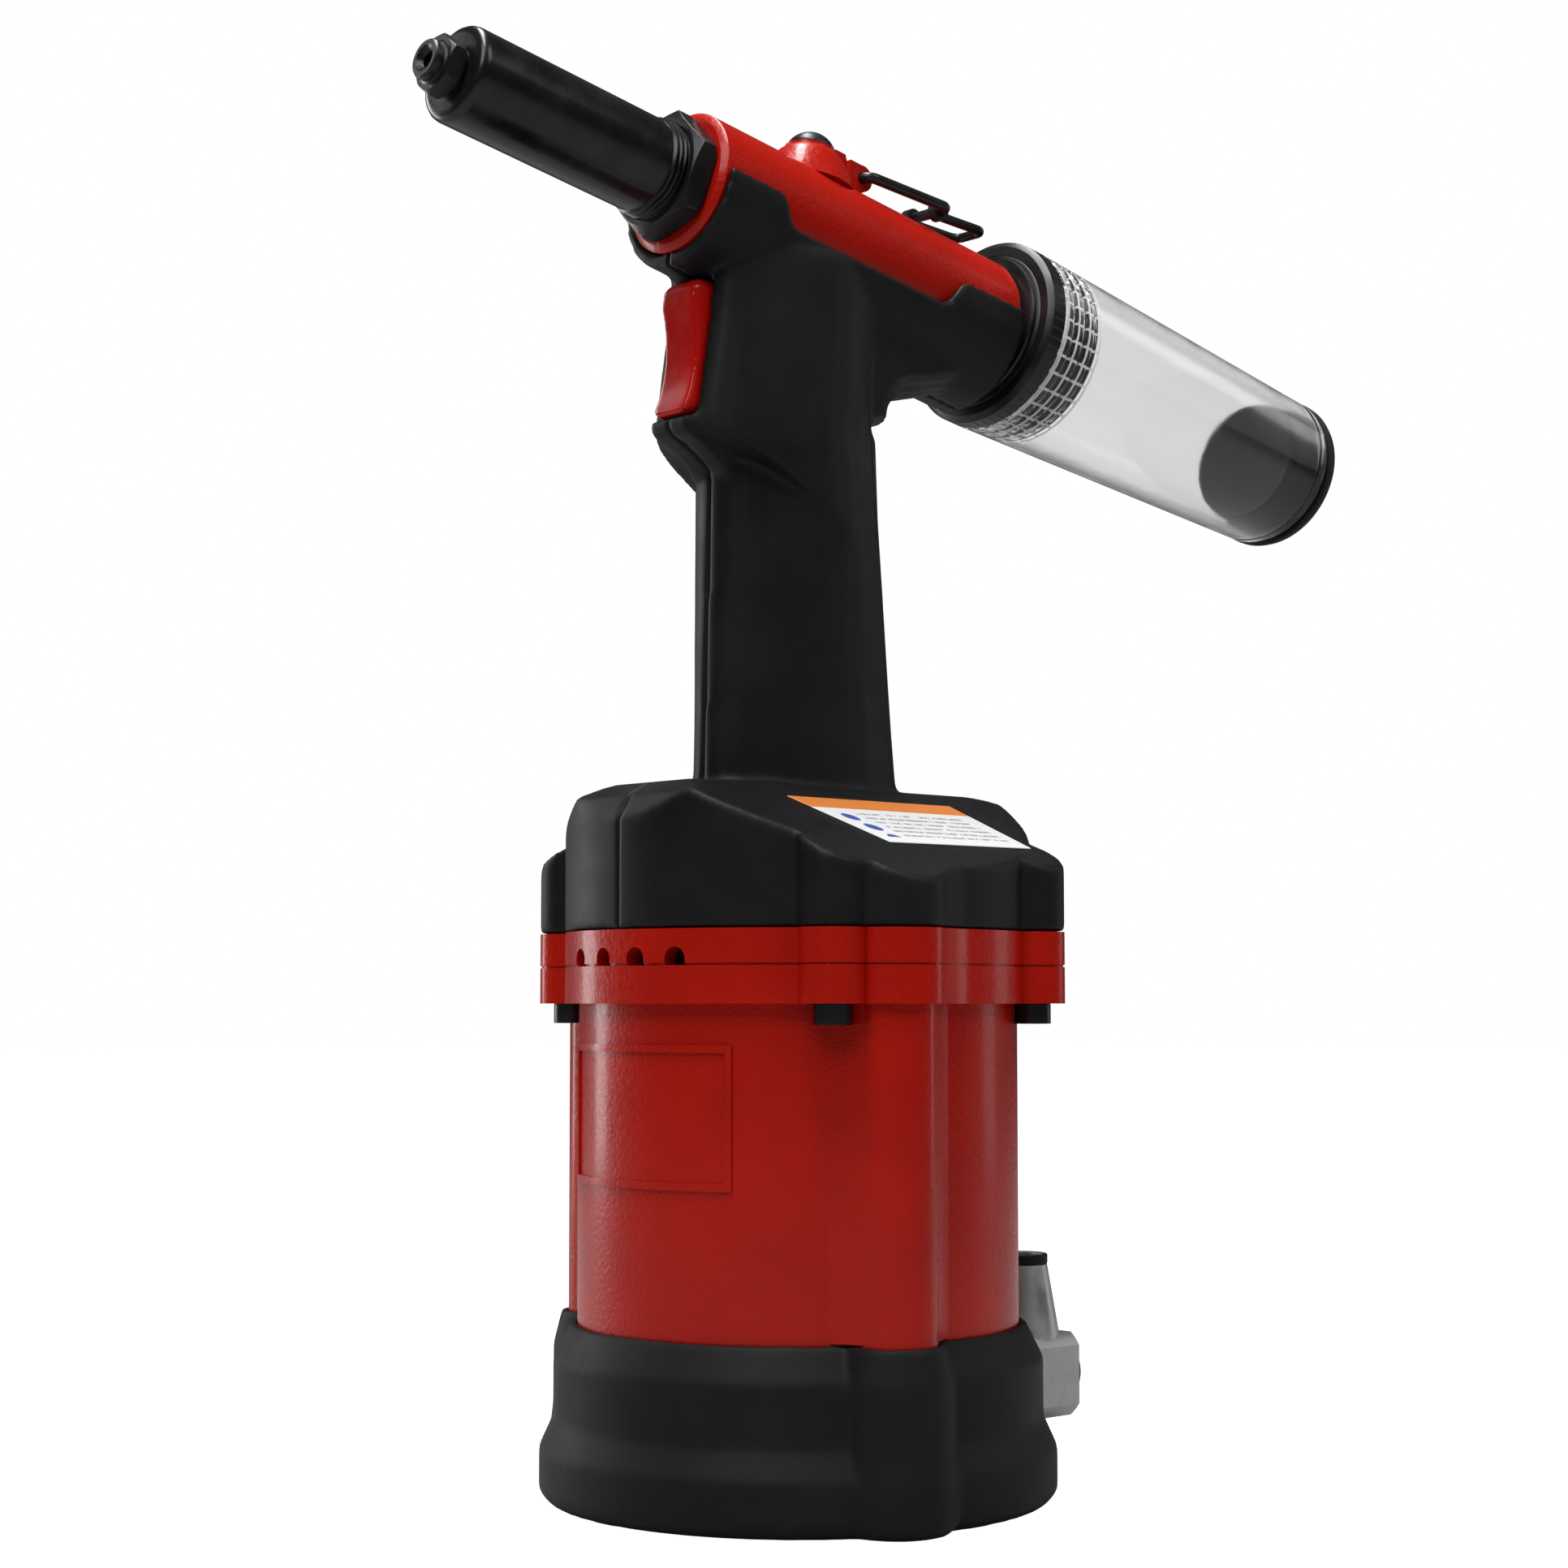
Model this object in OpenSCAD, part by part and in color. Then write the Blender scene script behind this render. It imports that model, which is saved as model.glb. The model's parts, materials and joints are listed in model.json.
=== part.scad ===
// Air-hydraulic blind rivet puller with a collection bottle for spent mandrels.
// Units mm. +Z up, nose toward -X. Origin: centre of the base, on the air cylinder's axis.

/* [Air motor] */
// Radius of the air cylinder's outer wall
cyl_r = 52; // [48:0.5:56]
// Bore radius of the air cylinder
bore_r = 46; // [40:0.5:48]
// Underside of the cylinder's flange
flange_lo = 115; // [100:0.5:130]
// Split line between cylinder and cap
split_z = 123.5; // [105:0.5:140]
// Top of the cap plate
cap_z = 131.7; // [112:0.1:150]
// Radius of the flange between its lobes
flange_r = 55.4; // [53:0.1:60]

/* [Pulling head] */
// Height of the barrel's axis above the base
axis_z = 299.86; // [280:0.1:320]
// Nose-up tilt of the barrel, degrees
tilt = 10.42; // [0:0.1:15]
// Radius of the barrel
barrel_r = 17.2; // [15:0.1:20]
// Radius of the hydraulic bore
pull_r = 13.05; // [11:0.05:14]
// Radius of the nose sleeve
sleeve_r = 11.3; // [10:0.1:13]
// Hole for the rivet's mandrel, radius
mandrel_r = 1.8; // [1.2:0.1:2.6]

/* [Handle and covers] */
// Wall of the moulded covers
wall = 2.7; // [2:0.1:4]
// Width of the trigger
trig_w = 11.6; // [9:0.1:14]

/* [Collector] */
// Outer radius of the bottle's mouth
bottle_r = 24.4; // [20:0.1:28]
// Outer radius of the bottle's far end
bottle_end_r = 21.2; // [18:0.1:26]
// Place of the bottle's far end along the barrel
bottle_t = 186.5; // [150:0.5:210]

/* [Hidden] */
$fn = 64;
boss_r = 9.5;
boss_x = -17.3;
boss_y = 50.1;
rear_x = 61;
rear_w = 14.5;
rear_c = 6;
screw_x = 32.2;
screw_y = 46;
lobe_r = 7.6;
floor_z = 12;
ram_r = 7.95;
in_z = 21.5;          // height of the air inlet's axis
lug_t = 12.6;         // pin of the hanger: along the barrel, and above its axis
lug_u = 20;
bail_l = 28;
gap = 0.05;           // radial running clearance
red = [0.62, 0.05, 0.04];
black = [0.12, 0.12, 0.125];
steel = [0.62, 0.62, 0.64];
oxide = [0.07, 0.07, 0.075];
brass = [0.75, 0.6, 0.3];

// ---------- helpers ----------
// Barrel frame: local +Z runs rearward along the barrel, local -X points up.
module barrel() { translate([0, 0, axis_z]) rotate([0, 90 + tilt, 0]) children(); }
// Revolved piece along the barrel from [radius, place] points.
module turned(pts) { barrel() rotate_extrude() polygon(pts); }
module along(t, l, r) { barrel() translate([0, 0, t]) cylinder(h = l, r = r); }
// Hexagonal prism along local Z.
module hex(af, h) { cylinder(h = h, r = af / 2 / cos(30), $fn = 6); }
// Coil spring along +Z as a twisted lens section.
module coil(R, w, h, turns) {
  n = 8;
  half = 180 * 2 * w / (h / turns);
  linear_extrude(height = h, twist = -360 * turns, slices = ceil(turns * 14), $fn = n)
    polygon([for (i = [0:n - 1]) let (a = 360 * i / n, q = R + w * sin(a), f = half * cos(a))
      [q * cos(f), q * sin(f)]]);
}
// Rear passage of the cylinder, grown by b1 at the bottom and b2 at the top.
module rear_block(b1, b2, h) {
  for (s = [-1, 1]) translate([rear_x - rear_c, s * (rear_w - rear_c), 0])
    cylinder(h = h, r1 = rear_c + b1, r2 = rear_c + b2);
  rotate([90, 0, 0]) linear_extrude(2 * (rear_w - rear_c), center = true)
    polygon([[30, 0], [rear_x + b1, 0], [rear_x + b2, h], [30, h]]);
  translate([30, 0, 0]) rotate([90, 0, 90]) linear_extrude(rear_x - rear_c - 30)
    polygon([[-rear_w - b1, 0], [rear_w + b1, 0], [rear_w + b2, h], [-rear_w - b2, h]]);
}
// Cylinder outline with its passages: d grows the main wall, b the passages.
module lobed(z, h, d1, d2, b1, b2) {
  translate([0, 0, z]) {
    cylinder(h = h, r1 = cyl_r + d1, r2 = cyl_r + d2);
    for (s = [-1, 1]) translate([boss_x, s * boss_y, 0])
      cylinder(h = h, r1 = boss_r + b1, r2 = boss_r + b2);
    rear_block(b1, b2, h);
  }
}
module at_screws() {
  for (x = [-1, 1]) for (y = [-1, 1]) translate([x * screw_x, y * screw_y, 0]) children();
}
// Outline of the flange and of all that follows it upward.
module flange2d(g) {
  circle(r = flange_r + g, $fn = 128);
  at_screws() circle(r = lobe_r + g);
  for (s = [-1, 1]) translate([boss_x, s * boss_y]) circle(r = boss_r + 2 + g);
  for (s = [-1, 1]) for (k = [-1, 1]) rotate([0, 0, s * atan2(boss_y, boss_x)])
    polygon([[45, 3 * k], [59.5 + g, 9 * k], [52.5 + g, 17.5 * k]]);
  for (s = [-1, 1]) translate([rear_x - rear_c, s * (rear_w - rear_c)]) circle(r = rear_c + g);
  translate([30, -rear_w + rear_c]) square([rear_x + g - 30, 2 * (rear_w - rear_c)]);
  translate([30, -rear_w - g]) square([rear_x - rear_c - 30, 2 * rear_w + 2 * g]);
}

// ---------- air motor ----------
module base_boot() color(black) difference() {
  union() {
    lobed(0, 2.5, 6.6, 8.8, 2.4, 4.4);
    lobed(2.5, 9.5, 8.8, 8.8, 4.4, 4.4);
    lobed(12, 7, 8.8, 5.6, 4.4, 3.6);
    lobed(19, 13.5, 5.6, 5.6, 3.6, 3.6);
    lobed(32.5, 8.1, 5.6, 1.6, 3.6, 1.6);
  }
  lobed(4, 40, 0.1, 0.1, 0.1, 0.1);
  translate([40, 0, in_z]) rotate([0, 90, 0]) cylinder(h = 40, r = 8.1);
}

module air_cylinder() color(red) difference() {
  union() {
    lobed(4, flange_lo - 4, 0, 0, 0, 0);
    // webs that ease the side passages into the wall
    for (s = [-1, 1]) for (k = [-1, 1]) rotate([0, 0, s * atan2(boss_y, boss_x)])
      translate([0, 0, 41]) linear_extrude(flange_lo - 41)
        polygon([[45, 3 * k], [56.25, 8.93 * k], [49.86, 14.77 * k]]);
    translate([0, 0, flange_lo]) linear_extrude(split_z - flange_lo) flange2d(0);
    // raised border of the blank badge panel
    intersection() {
      difference() {
        translate([0, 0, 73.7]) cylinder(h = 32.1, r = cyl_r + 0.7, $fn = 128);
        translate([0, 0, 75.4]) linear_extrude(28.7)
          polygon([[0, 0], [-80 * cos(29.4), -80 * sin(29.4)], [-100, 0],
            [-80 * cos(29.4), 80 * sin(29.4)]]);
      }
      translate([0, 0, 70]) linear_extrude(40)
        polygon([[0, 0], [-80 * cos(31), -80 * sin(31)], [-100, 0],
          [-80 * cos(31), 80 * sin(31)]]);
    }
  }
  translate([0, 0, floor_z]) cylinder(h = 200, r = bore_r);
  at_screws() {
    translate([0, 0, flange_lo - 4.75]) cylinder(h = 4.75, r = 4.75);
    translate([0, 0, flange_lo - 1]) cylinder(h = 20, r = 2.75);
  }
  translate([boss_x, -boss_y, 60]) cylinder(h = 100, r = 6);
  translate([boss_x, boss_y, 20]) cylinder(h = 200, r = 3.5);
  translate([boss_x, boss_y, 17]) rotate([0, 0, -70]) rotate([0, 90, 0])
    translate([-3, 0, -12]) cylinder(h = 12, r = 2);
  translate([rear_x - 16, 0, in_z]) rotate([0, 90, 0]) cylinder(h = 40, r = 6.5);
  translate([rear_x - 9, 0, in_z]) cylinder(h = 200, r = 3);
}

module air_piston() color(steel) difference() {
  translate([0, 0, 14]) cylinder(h = 12, r = bore_r - gap, $fn = 128);
  translate([0, 0, 18]) difference() {
    cylinder(h = 4, r = bore_r + 1);
    cylinder(h = 4, r = bore_r - 3.2);
  }
  translate([0, 0, 13]) cylinder(h = 6.5, r = 9);
  translate([0, 0, 10]) cylinder(h = 20, r = 5);
}
module air_piston_seal() color(black) translate([0, 0, 18.2]) difference() {
  cylinder(h = 3.6, r = bore_r - 0.03, $fn = 128);
  translate([0, 0, -1]) cylinder(h = 6, r = bore_r - 3.2);
}
module ram_rod() color(steel) {
  translate([0, 0, 26]) cylinder(h = 149, r = ram_r);
  translate([0, 0, 175]) cylinder(h = 1, r1 = ram_r, r2 = ram_r - 1);
  translate([0, 0, 19.4]) cylinder(h = 7, r = 4.97);
  translate([0, 0, 14.2]) cylinder(h = 6, r = 3.97);
}
module ram_nut() color(steel) difference() {
  translate([0, 0, 14.4]) hex(13, 5);
  translate([0, 0, 14]) cylinder(h = 6, r = 4);
}
module ram_gland() color(brass) difference() {
  union() {
    translate([0, 0, 117]) cylinder(h = 3, r = 14.4);
    translate([0, 0, 120]) cylinder(h = 19, r = 11.5);
  }
  translate([0, 0, 110]) cylinder(h = 40, r = ram_r + gap);
}
module cylinder_seal() color(black) translate([0, 0, 120.6]) difference() {
  cylinder(h = 2, r = bore_r - 0.02, $fn = 128);
  translate([0, 0, -1]) cylinder(h = 4, r = bore_r - 2);
}
module silencer_pad() color(black) intersection() {
  translate([0, 0, split_z]) difference() {
    cylinder(h = 3.9, r = 50.4, $fn = 128);
    translate([0, 0, -1]) cylinder(h = 6, r = 47.1, $fn = 128);
  }
  translate([0, 0, split_z]) linear_extrude(10)
    polygon([[0, 0], [-80, -36], [-80, 36]]);
}
module flange_screws() color(oxide) at_screws() {
  difference() {
    translate([0, 0, 110.3]) cylinder(h = flange_lo - 110.3, r = 4.25);
    translate([0, 0, 110]) cylinder(h = 2.8, r = 2.3, $fn = 6);
  }
  translate([0, 0, flange_lo - 0.01]) cylinder(h = 14, r = 2.5);
}
module valve_sleeve() color(brass) translate([boss_x, -boss_y, 60]) difference() {
  cylinder(h = 55, r = 5.97);
  translate([0, 0, 2]) cylinder(h = 60, r = 4);
  for (z = [18, 30, 42]) translate([0, 0, z]) rotate([0, 90, 0])
    cylinder(h = 20, r = 1.4, center = true);
}
module valve_spool() color(steel) translate([boss_x, -boss_y, 74]) {
  for (z = [0, 12, 24]) translate([0, 0, z]) cylinder(h = 5, r = 4 - gap);
  cylinder(h = 29, r = 2.2);
}
module valve_spring() color(steel) translate([boss_x, -boss_y, 62.1]) coil(3, 0.4, 11.8, 5);

// ---------- casting ----------
module frame_casting() color(red) difference() {
  union() {
    translate([0, 0, split_z]) linear_extrude(0.5) flange2d(-0.4);
    translate([0, 0, split_z + 0.5]) linear_extrude(cap_z - split_z - 0.5) flange2d(0);
    translate([0, 0, 119.5]) cylinder(h = 5, r = bore_r - 0.1, $fn = 128);
    translate([0, 0, 120]) cylinder(h = 22, r = 19);
    translate([0, 0, 130]) cylinder(h = 156, r = 11.2);
    translate([-22.5, -7, 257]) cube([16, 14, 20]);
    turned([[0, -39.5], [15.6, -39.5], [16.5, -39], [barrel_r, -38.3], [barrel_r, 60.5],
      [16.4, 62.6], [15, 63.5], [0, 63.5]]);
    // boss for the fill screw and the lug for the hanger, on top of the barrel
    barrel() {
      rotate([0, -90, 0]) rotate_extrude() polygon([[0, 10], [12.4, 13.6], [10.6, 17.6],
        [9.2, 20], [8, 21.8], [6.4, 23.2], [6.4, 23.8], [0, 23.8]]);
      rotate([90, 0, 0]) linear_extrude(9.4, center = true) polygon([[-12, 0], [-24.6, 0],
        [-24.6, 7.4], [-20.6, 9.4], [-12, 11]]);
      translate([-23.2, -6.2, 8]) cube([11, 12.4, 5]);
      translate([-lug_u, 0, lug_t]) rotate([90, 0, 0]) cylinder(h = 12.4, r = 3.3, center = true);
    }
  }
  // oil chamber of the ram, and the port to the pulling bore
  translate([0, 0, 139]) cylinder(h = 123, r = ram_r + 0.4);
  translate([-6, 0, 250]) cylinder(h = 50, r = 2);
  translate([0, 0, 119.9]) cylinder(h = 19.2, r = 11.5);
  translate([0, 0, 119]) cylinder(h = 1, r = 14.5);
  translate([0, 0, 120.5]) difference() {
    cylinder(h = 2.2, r = bore_r + 1);
    cylinder(h = 2.2, r = bore_r - 2);
  }
  // bore of the head: thread, gland seat, chamber and end cap seat
  turned([[0, -41], [11.85, -41], [11.85, -18], [pull_r, -18], [pull_r, 54], [14.45, 54],
    [14.45, 65], [0, 65]]);
  // fill hole, hanger hole
  barrel() {
    rotate([0, -90, 0]) cylinder(h = 40, r = 3);
    rotate([0, -90, 0]) translate([0, 0, 23.8]) cylinder(h = 10, r = 6.1);
    translate([-lug_u, 0, lug_t]) rotate([90, 0, 0]) cylinder(h = 20, r = 1.5, center = true);
  }
  // trigger valve seat
  translate([-24, 0, 267]) rotate([0, 90, 0]) cylinder(h = 8.5, r = 4.5);
  translate([-20, 0, 267]) rotate([0, 90, 0]) cylinder(h = 8.5, r = 2.4);
  translate([-20, 0, 240]) cylinder(h = 24, r = 1.6);
  // exhaust slots in the front edge of the cap
  for (a = [-17.55, -5.85, 5.85, 17.55]) rotate([0, 0, 180 + a]) {
    translate([49, 0, split_z + 1.5]) rotate([0, 90, 0]) cylinder(h = 9, r = 2.65);
    translate([49, -2.65, split_z - 1]) cube([9, 5.3, 2.5]);
  }
  translate([0, 0, split_z - 1]) intersection() {
    difference() {
      cylinder(h = 5, r = 50.5, $fn = 128);
      translate([0, 0, -1]) cylinder(h = 9, r = 47, $fn = 128);
    }
    linear_extrude(9) polygon([[0, 0], [-80, -37], [-80, 37]]);
  }
  at_screws() translate([0, 0, split_z - 1]) cylinder(h = 7, r = 2.5);
  translate([boss_x, -boss_y, 110]) cylinder(h = 17, r = 3.5);
  translate([boss_x, boss_y, 110]) cylinder(h = 17, r = 3.5);
  translate([-20, 0, 125]) cylinder(h = 20, r = 2.02);
}

module fill_screw() color(oxide) barrel() rotate([0, -90, 0]) {
  translate([0, 0, 16]) cylinder(h = 8, r = 2.97);
  translate([0, 0, 23.8]) cylinder(h = 0.4, r = 6);
  translate([0, 0, 24.2]) intersection() {
    cylinder(h = 4, r = 6);
    translate([0, 0, -2.7]) sphere(r = 6.58);
  }
}
// U of round wire in the XY plane, legs toward +X from pins at x = 0; the pins point inward.
module wire_u(half, len, pin, r, bend) {
  for (s = [-1, 1]) {
    translate([bend, s * half, 0]) rotate([0, 90, 0]) cylinder(h = len - 2 * bend, r = r);
    for (x = [0, len]) translate([x == 0 ? bend : len - bend, s * (half - bend), 0])
      rotate([0, 0, x == 0 ? (s > 0 ? 90 : 180) : (s > 0 ? 0 : 270)])
        rotate_extrude(angle = 90) translate([bend, 0]) circle(r = r, $fn = 32);
    translate([0, s * (half - bend), 0]) rotate([s * 90, 0, 0])
      cylinder(h = half - bend - pin, r = r);
  }
  translate([len, 0, 0]) rotate([90, 0, 0])
    cylinder(h = 2 * (half - bend), r = r, center = true);
}
module hanger_bail() color(oxide) barrel() translate([-lug_u, 0, lug_t]) rotate([0, -94.9, 0])
  wire_u(8.6, bail_l, 1, 1.35, 2.4);
// Link on the bail's cross wire: two eyes joined by a bent wire.
module hanger_link() color(oxide) barrel()
  translate([-lug_u - bail_l * sin(4.9), 0, lug_t + bail_l * cos(4.9)]) rotate([0, -96.6, 0]) {
    for (s = [-1, 1]) {
      translate([0, s * 4.8, 0]) rotate([90, 0, 0]) difference() {
        cylinder(h = 2.5, r = 2.5, center = true);
        cylinder(h = 3, r = 1.45, center = true);
      }
      translate([1.6, s * 4.8, -1.1]) rotate([0, 90, 0]) cylinder(h = 12.6, r = 1.2);
      translate([14.2, s * 2.4, -1.1]) rotate([0, 0, s > 0 ? 0 : 270])
        rotate_extrude(angle = 90) translate([2.4, 0]) circle(r = 1.2, $fn = 32);
    }
    translate([16.6, 0, -1.1]) rotate([90, 0, 0]) cylinder(h = 4.8, r = 1.2, center = true);
  }

// ---------- pulling head ----------
module front_gland() color(brass) turned([[6.05, -28], [11.8, -28], [11.8, -18], [6.05, -18]]);
module pull_piston() color(steel) turned([[2.6, -72], [5.6, -72], [6, -71.4], [6, 9],
  [pull_r - gap, 9], [pull_r - gap, 11], [10.8, 11], [10.8, 14.5], [pull_r - gap, 14.5],
  [pull_r - gap, 17], [4.5, 17], [4.5, 68], [2.6, 68]]);
module pull_piston_seal() color(black) turned([[10.8, 11.1], [pull_r - 0.03, 11.1],
  [pull_r - 0.03, 14.4], [10.8, 14.4]]);
module return_spring() color(steel) barrel() translate([0, 0, 17.05]) coil(9.6, 0.9, 36.9, 5.5);
module rear_end_cap() color(oxide) turned([[4.55, 54], [14.4, 54], [14.4, 63.4], [9.9, 63.4],
  [9.9, 71.5], [9.2, 72.2], [4.55, 72.2]]);
module jaw_case() color(oxide) turned([[2.7, -98], [7.9, -98], [8.6, -97.2], [8.6, -66],
  [6.02, -66], [6.02, -72.2], [6.5, -72.2], [6.5, -87.6]]);
// Three jaws: sectors of a coned collet.
module jaw(k) color(steel) barrel() rotate([0, 0, 120 * k]) intersection() {
  rotate_extrude() polygon([[1.75, -97.4], [2.45, -97.4], [6.1, -87.6], [6.1, -86.2],
    [1.75, -86.2]]);
  translate([0, 0, -100]) linear_extrude(16)
    polygon([[0.45, 0], [9, -12.6], [14, 0], [9, 12.6]]);
}
module jaw_1() jaw(0);
module jaw_2() jaw(1);
module jaw_3() jaw(2);
module jaw_pusher() color(steel) turned([[1.9, -85.7], [4, -85.7], [6.2, -83.6], [6.2, -80],
  [3.2, -80], [3.2, -78.5], [1.9, -78.5]]);
module jaw_spring() color(steel) barrel() translate([0, 0, -79.9]) coil(4.4, 0.45, 7.6, 4);
module nose_sleeve() color(oxide) turned([[4.05, -105], [8.9, -105], [9.9, -104.8],
  [10.8, -104.1], [sleeve_r, -102.8], [sleeve_r, -50.4], [11.15, -50.2], [11.15, -49.6], [11.8, -49.2],
  [11.8, -48.6], [11.15, -48.2], [11.15, -47.6], [11.8, -47.2], [11.8, -46.6], [11.15, -46.2],
  [11.15, -45.8], [11.8, -45.4], [11.8, -28.1], [9.1, -28.1], [9.1, -101.5], [4.05, -101.5]]);
module sleeve_lock_nut() color(oxide) barrel() difference() {
  intersection() {
    translate([0, 0, -45.7]) rotate([0, 0, 12]) hex(27.2, 6.1);
    rotate_extrude() polygon([[0, -45.7], [13.2, -45.7], [15.6, -44.3], [15.6, -41],
      [14.4, -39.6], [0, -39.6]]);
  }
  translate([0, 0, -50]) cylinder(h = 20, r = 11.85);
}
module nosepiece() color(oxide) barrel() difference() {
  union() {
    rotate_extrude() polygon([[0, -112.6], [4.2, -112.6], [4.6, -112.1], [4.6, -110.4],
      [5.2, -110], [0, -110]]);
    intersection() {
      translate([0, 0, -110]) rotate([0, 0, 8]) hex(12.5, 4);
      rotate_extrude() polygon([[0, -110], [6.3, -110], [7.2, -109.1], [7.2, -106.7],
        [6.5, -106], [0, -106]]);
    }
    translate([0, 0, -106]) cylinder(h = 1, r = 5.6);
    translate([0, 0, -105]) cylinder(h = 5.4, r = 4);
    translate([0, 0, -99.6]) cylinder(h = 1.5, r1 = 2.4, r2 = 2.2);
  }
  translate([0, 0, -120]) cylinder(h = 30, r = mandrel_r);
  translate([0, 0, -112.61]) cylinder(h = 1.2, r1 = 3.2, r2 = mandrel_r);
}

// ---------- collector ----------
module collector_adapter() color(oxide) turned([[9.95, 63.5], [18.7, 63.5], [19.5, 64.2],
  [19.5, 65.3], [20.4, 65.3], [20.4, 75], [21.2, 75.6], [21.2, 77], [20.4, 77.6], [20.4, 80],
  [21.2, 80.6], [21.2, 82], [20.4, 82.6], [20.4, 86], [17.2, 86], [17.2, 72.4], [9.95, 72.4]]);
module knurled_ring() color(oxide) barrel() difference() {
  rotate_extrude($fn = 96) polygon([[20.5, 65.5], [22.9, 65.5], [24.4, 66.6], [24.4, 70.9],
    [20.5, 70.9]]);
  for (i = [0:59]) rotate([0, 0, 6 * i]) translate([24.75, 0, 67.2])
    rotate([0, 0, 45]) translate([-0.4, -0.4, 0]) cube([0.8, 0.8, 5]);
}
module collector_bottle() color([0.85, 0.87, 0.88, 0.35]) turned([[22.3, 71.2],
  [bottle_r, 71.2], [bottle_end_r + 0.1, bottle_t - 1.4], [bottle_end_r - 1, bottle_t],
  [17.35, bottle_t], [17.35, bottle_t - 2.2], [19.1, bottle_t - 2.6], [22.15, 88],
  [21.6, 87.4], [21.6, 86.4], [22.3, 85.8]]);
module bottle_end_cap() color(black) turned([[0, 174], [16.2, 174], [17.25, 175],
  [17.25, 186.6], [21, 186.6], [21.3, 187.3], [20.6, 189.6], [18.4, 191], [0, 191]]);

// ---------- covers ----------
// Ring of points of a rounded section at height z; e sets how square it is.
function ring(xf, xr, hy, z, e, xc = -99) = [for (i = [0:27]) let (a = 360 * (i + 0.5) / 28,
  c = cos(a), s = sin(a)) [max(xc, (xf + xr) / 2 + (xr - xf) / 2 * sign(c) * pow(abs(c), 2 / e)),
  hy * sign(s) * pow(abs(s), 2 / e), z]];
module loft(rings) {
  n = len(rings[0]);
  m = len(rings);
  polyhedron(points = [for (r = rings) each r], faces = concat(
    [[for (i = [0:n - 1]) i]],
    [for (k = [0:m - 2]) for (i = [0:n - 1]) let (a = k * n + i, b = k * n + (i + 1) % n)
      each [[a, a + n, b + n], [a, b + n, b]]],
    [[for (i = [n - 1:-1:0]) (m - 1) * n + i]]));
}
// Grip: [z, front, rear, half thickness]
grip = [[142, -37, 42, 20], [150, -34, 36.5, 17], [158, -31.4, 32.2, 14.8],
  [166, -30.4, 29.6, 14.1], [180, -29.9, 27.8, 14.4], [198, -29.4, 25.6, 15.3],
  [215, -28.8, 23.6, 16.1], [232, -28.3, 21.7, 16.6], [252, -28, 20.6, 16.9]];
// Block around the trigger: [z, virtual front, rear, half thickness, front face]
block = [[213, -33, 22.2, 15.4, -30], [226, -35.5, 21.6, 17.2, -31.5],
  [236, -38.6, 20.9, 18.2, -35.4], [244, -40.8, 20.1, 18.7, -38], [251, -40.8, 19.5, 18.9, -38],
  [262, -39, 19.2, 19.1, -36.2], [276, -36.6, 19.4, 19.2, -33.9], [292, -35, 21, 19.2, -32.5]];
module grip_body(d) {
  loft([for (g = grip) ring(g[1] + d, g[2] - d, g[3] - d, g[0], 2.15)]);
  intersection() {
    loft([for (g = block) ring(g[1] + 1.1 * d, g[2] - d, g[3] - d, g[0], 2.05, g[4] + d)]);
    rotate([90, 0, 0]) linear_extrude(60, center = true) polygon([[-50, 250 + d],
      [-41, 248.6 + d], [-39.5, 247.6 + d], [-30.4, 244.2 + d], [-22.5, 240.3 + d],
      [-15.6, 236.3 + d], [-5.6, 230 + d], [2, 225.5 + d], [12, 219 + d], [22, 213 + d],
      [40, 213 + d], [40, 300], [-50, 300]]);
  }
}
// Sleeve of the cover round the lower half of the barrel, grown by d.
module wrap_body(d) barrel() {
  translate([0, 0, -38.3]) cylinder(h = 100.3, r = 19.3 + d, $fn = 96);
  translate([1.4, 0, -38.3]) rotate([0, 1.5, 0]) cylinder(h = 100.3, r = 19.3 + d, $fn = 96);
}
// Dome over the cap: the flange outline cut by the roof planes, moved in by d.
module dome_body(d) intersection() {
  translate([0, 0, cap_z]) linear_extrude(60) flange2d(-d);
  rotate([90, 0, 90]) linear_extrude(160, center = true) polygon([[-70, 120], [70, 120],
    [70, 138 - d], [48, 149.5 - d], [16, 165 - d], [12, 166 - d], [-12, 166 - d],
    [-16, 165 - d], [-48, 149.5 - d], [-70, 138 - d]]);
  rotate([90, 0, 0]) linear_extrude(160, center = true) polygon([[-60 + d, 120],
    [-60 + d, 146], [-55.4 + d, 157 - d], [-52 + d, 162.5 - d], [-46 + d, 165.6 - d],
    [-38, 166 - d], [46, 166 - d], [54, 163.5 - d], [60 - d, 158 - d], [63 - d, 149], [63, 120]]);
}
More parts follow.
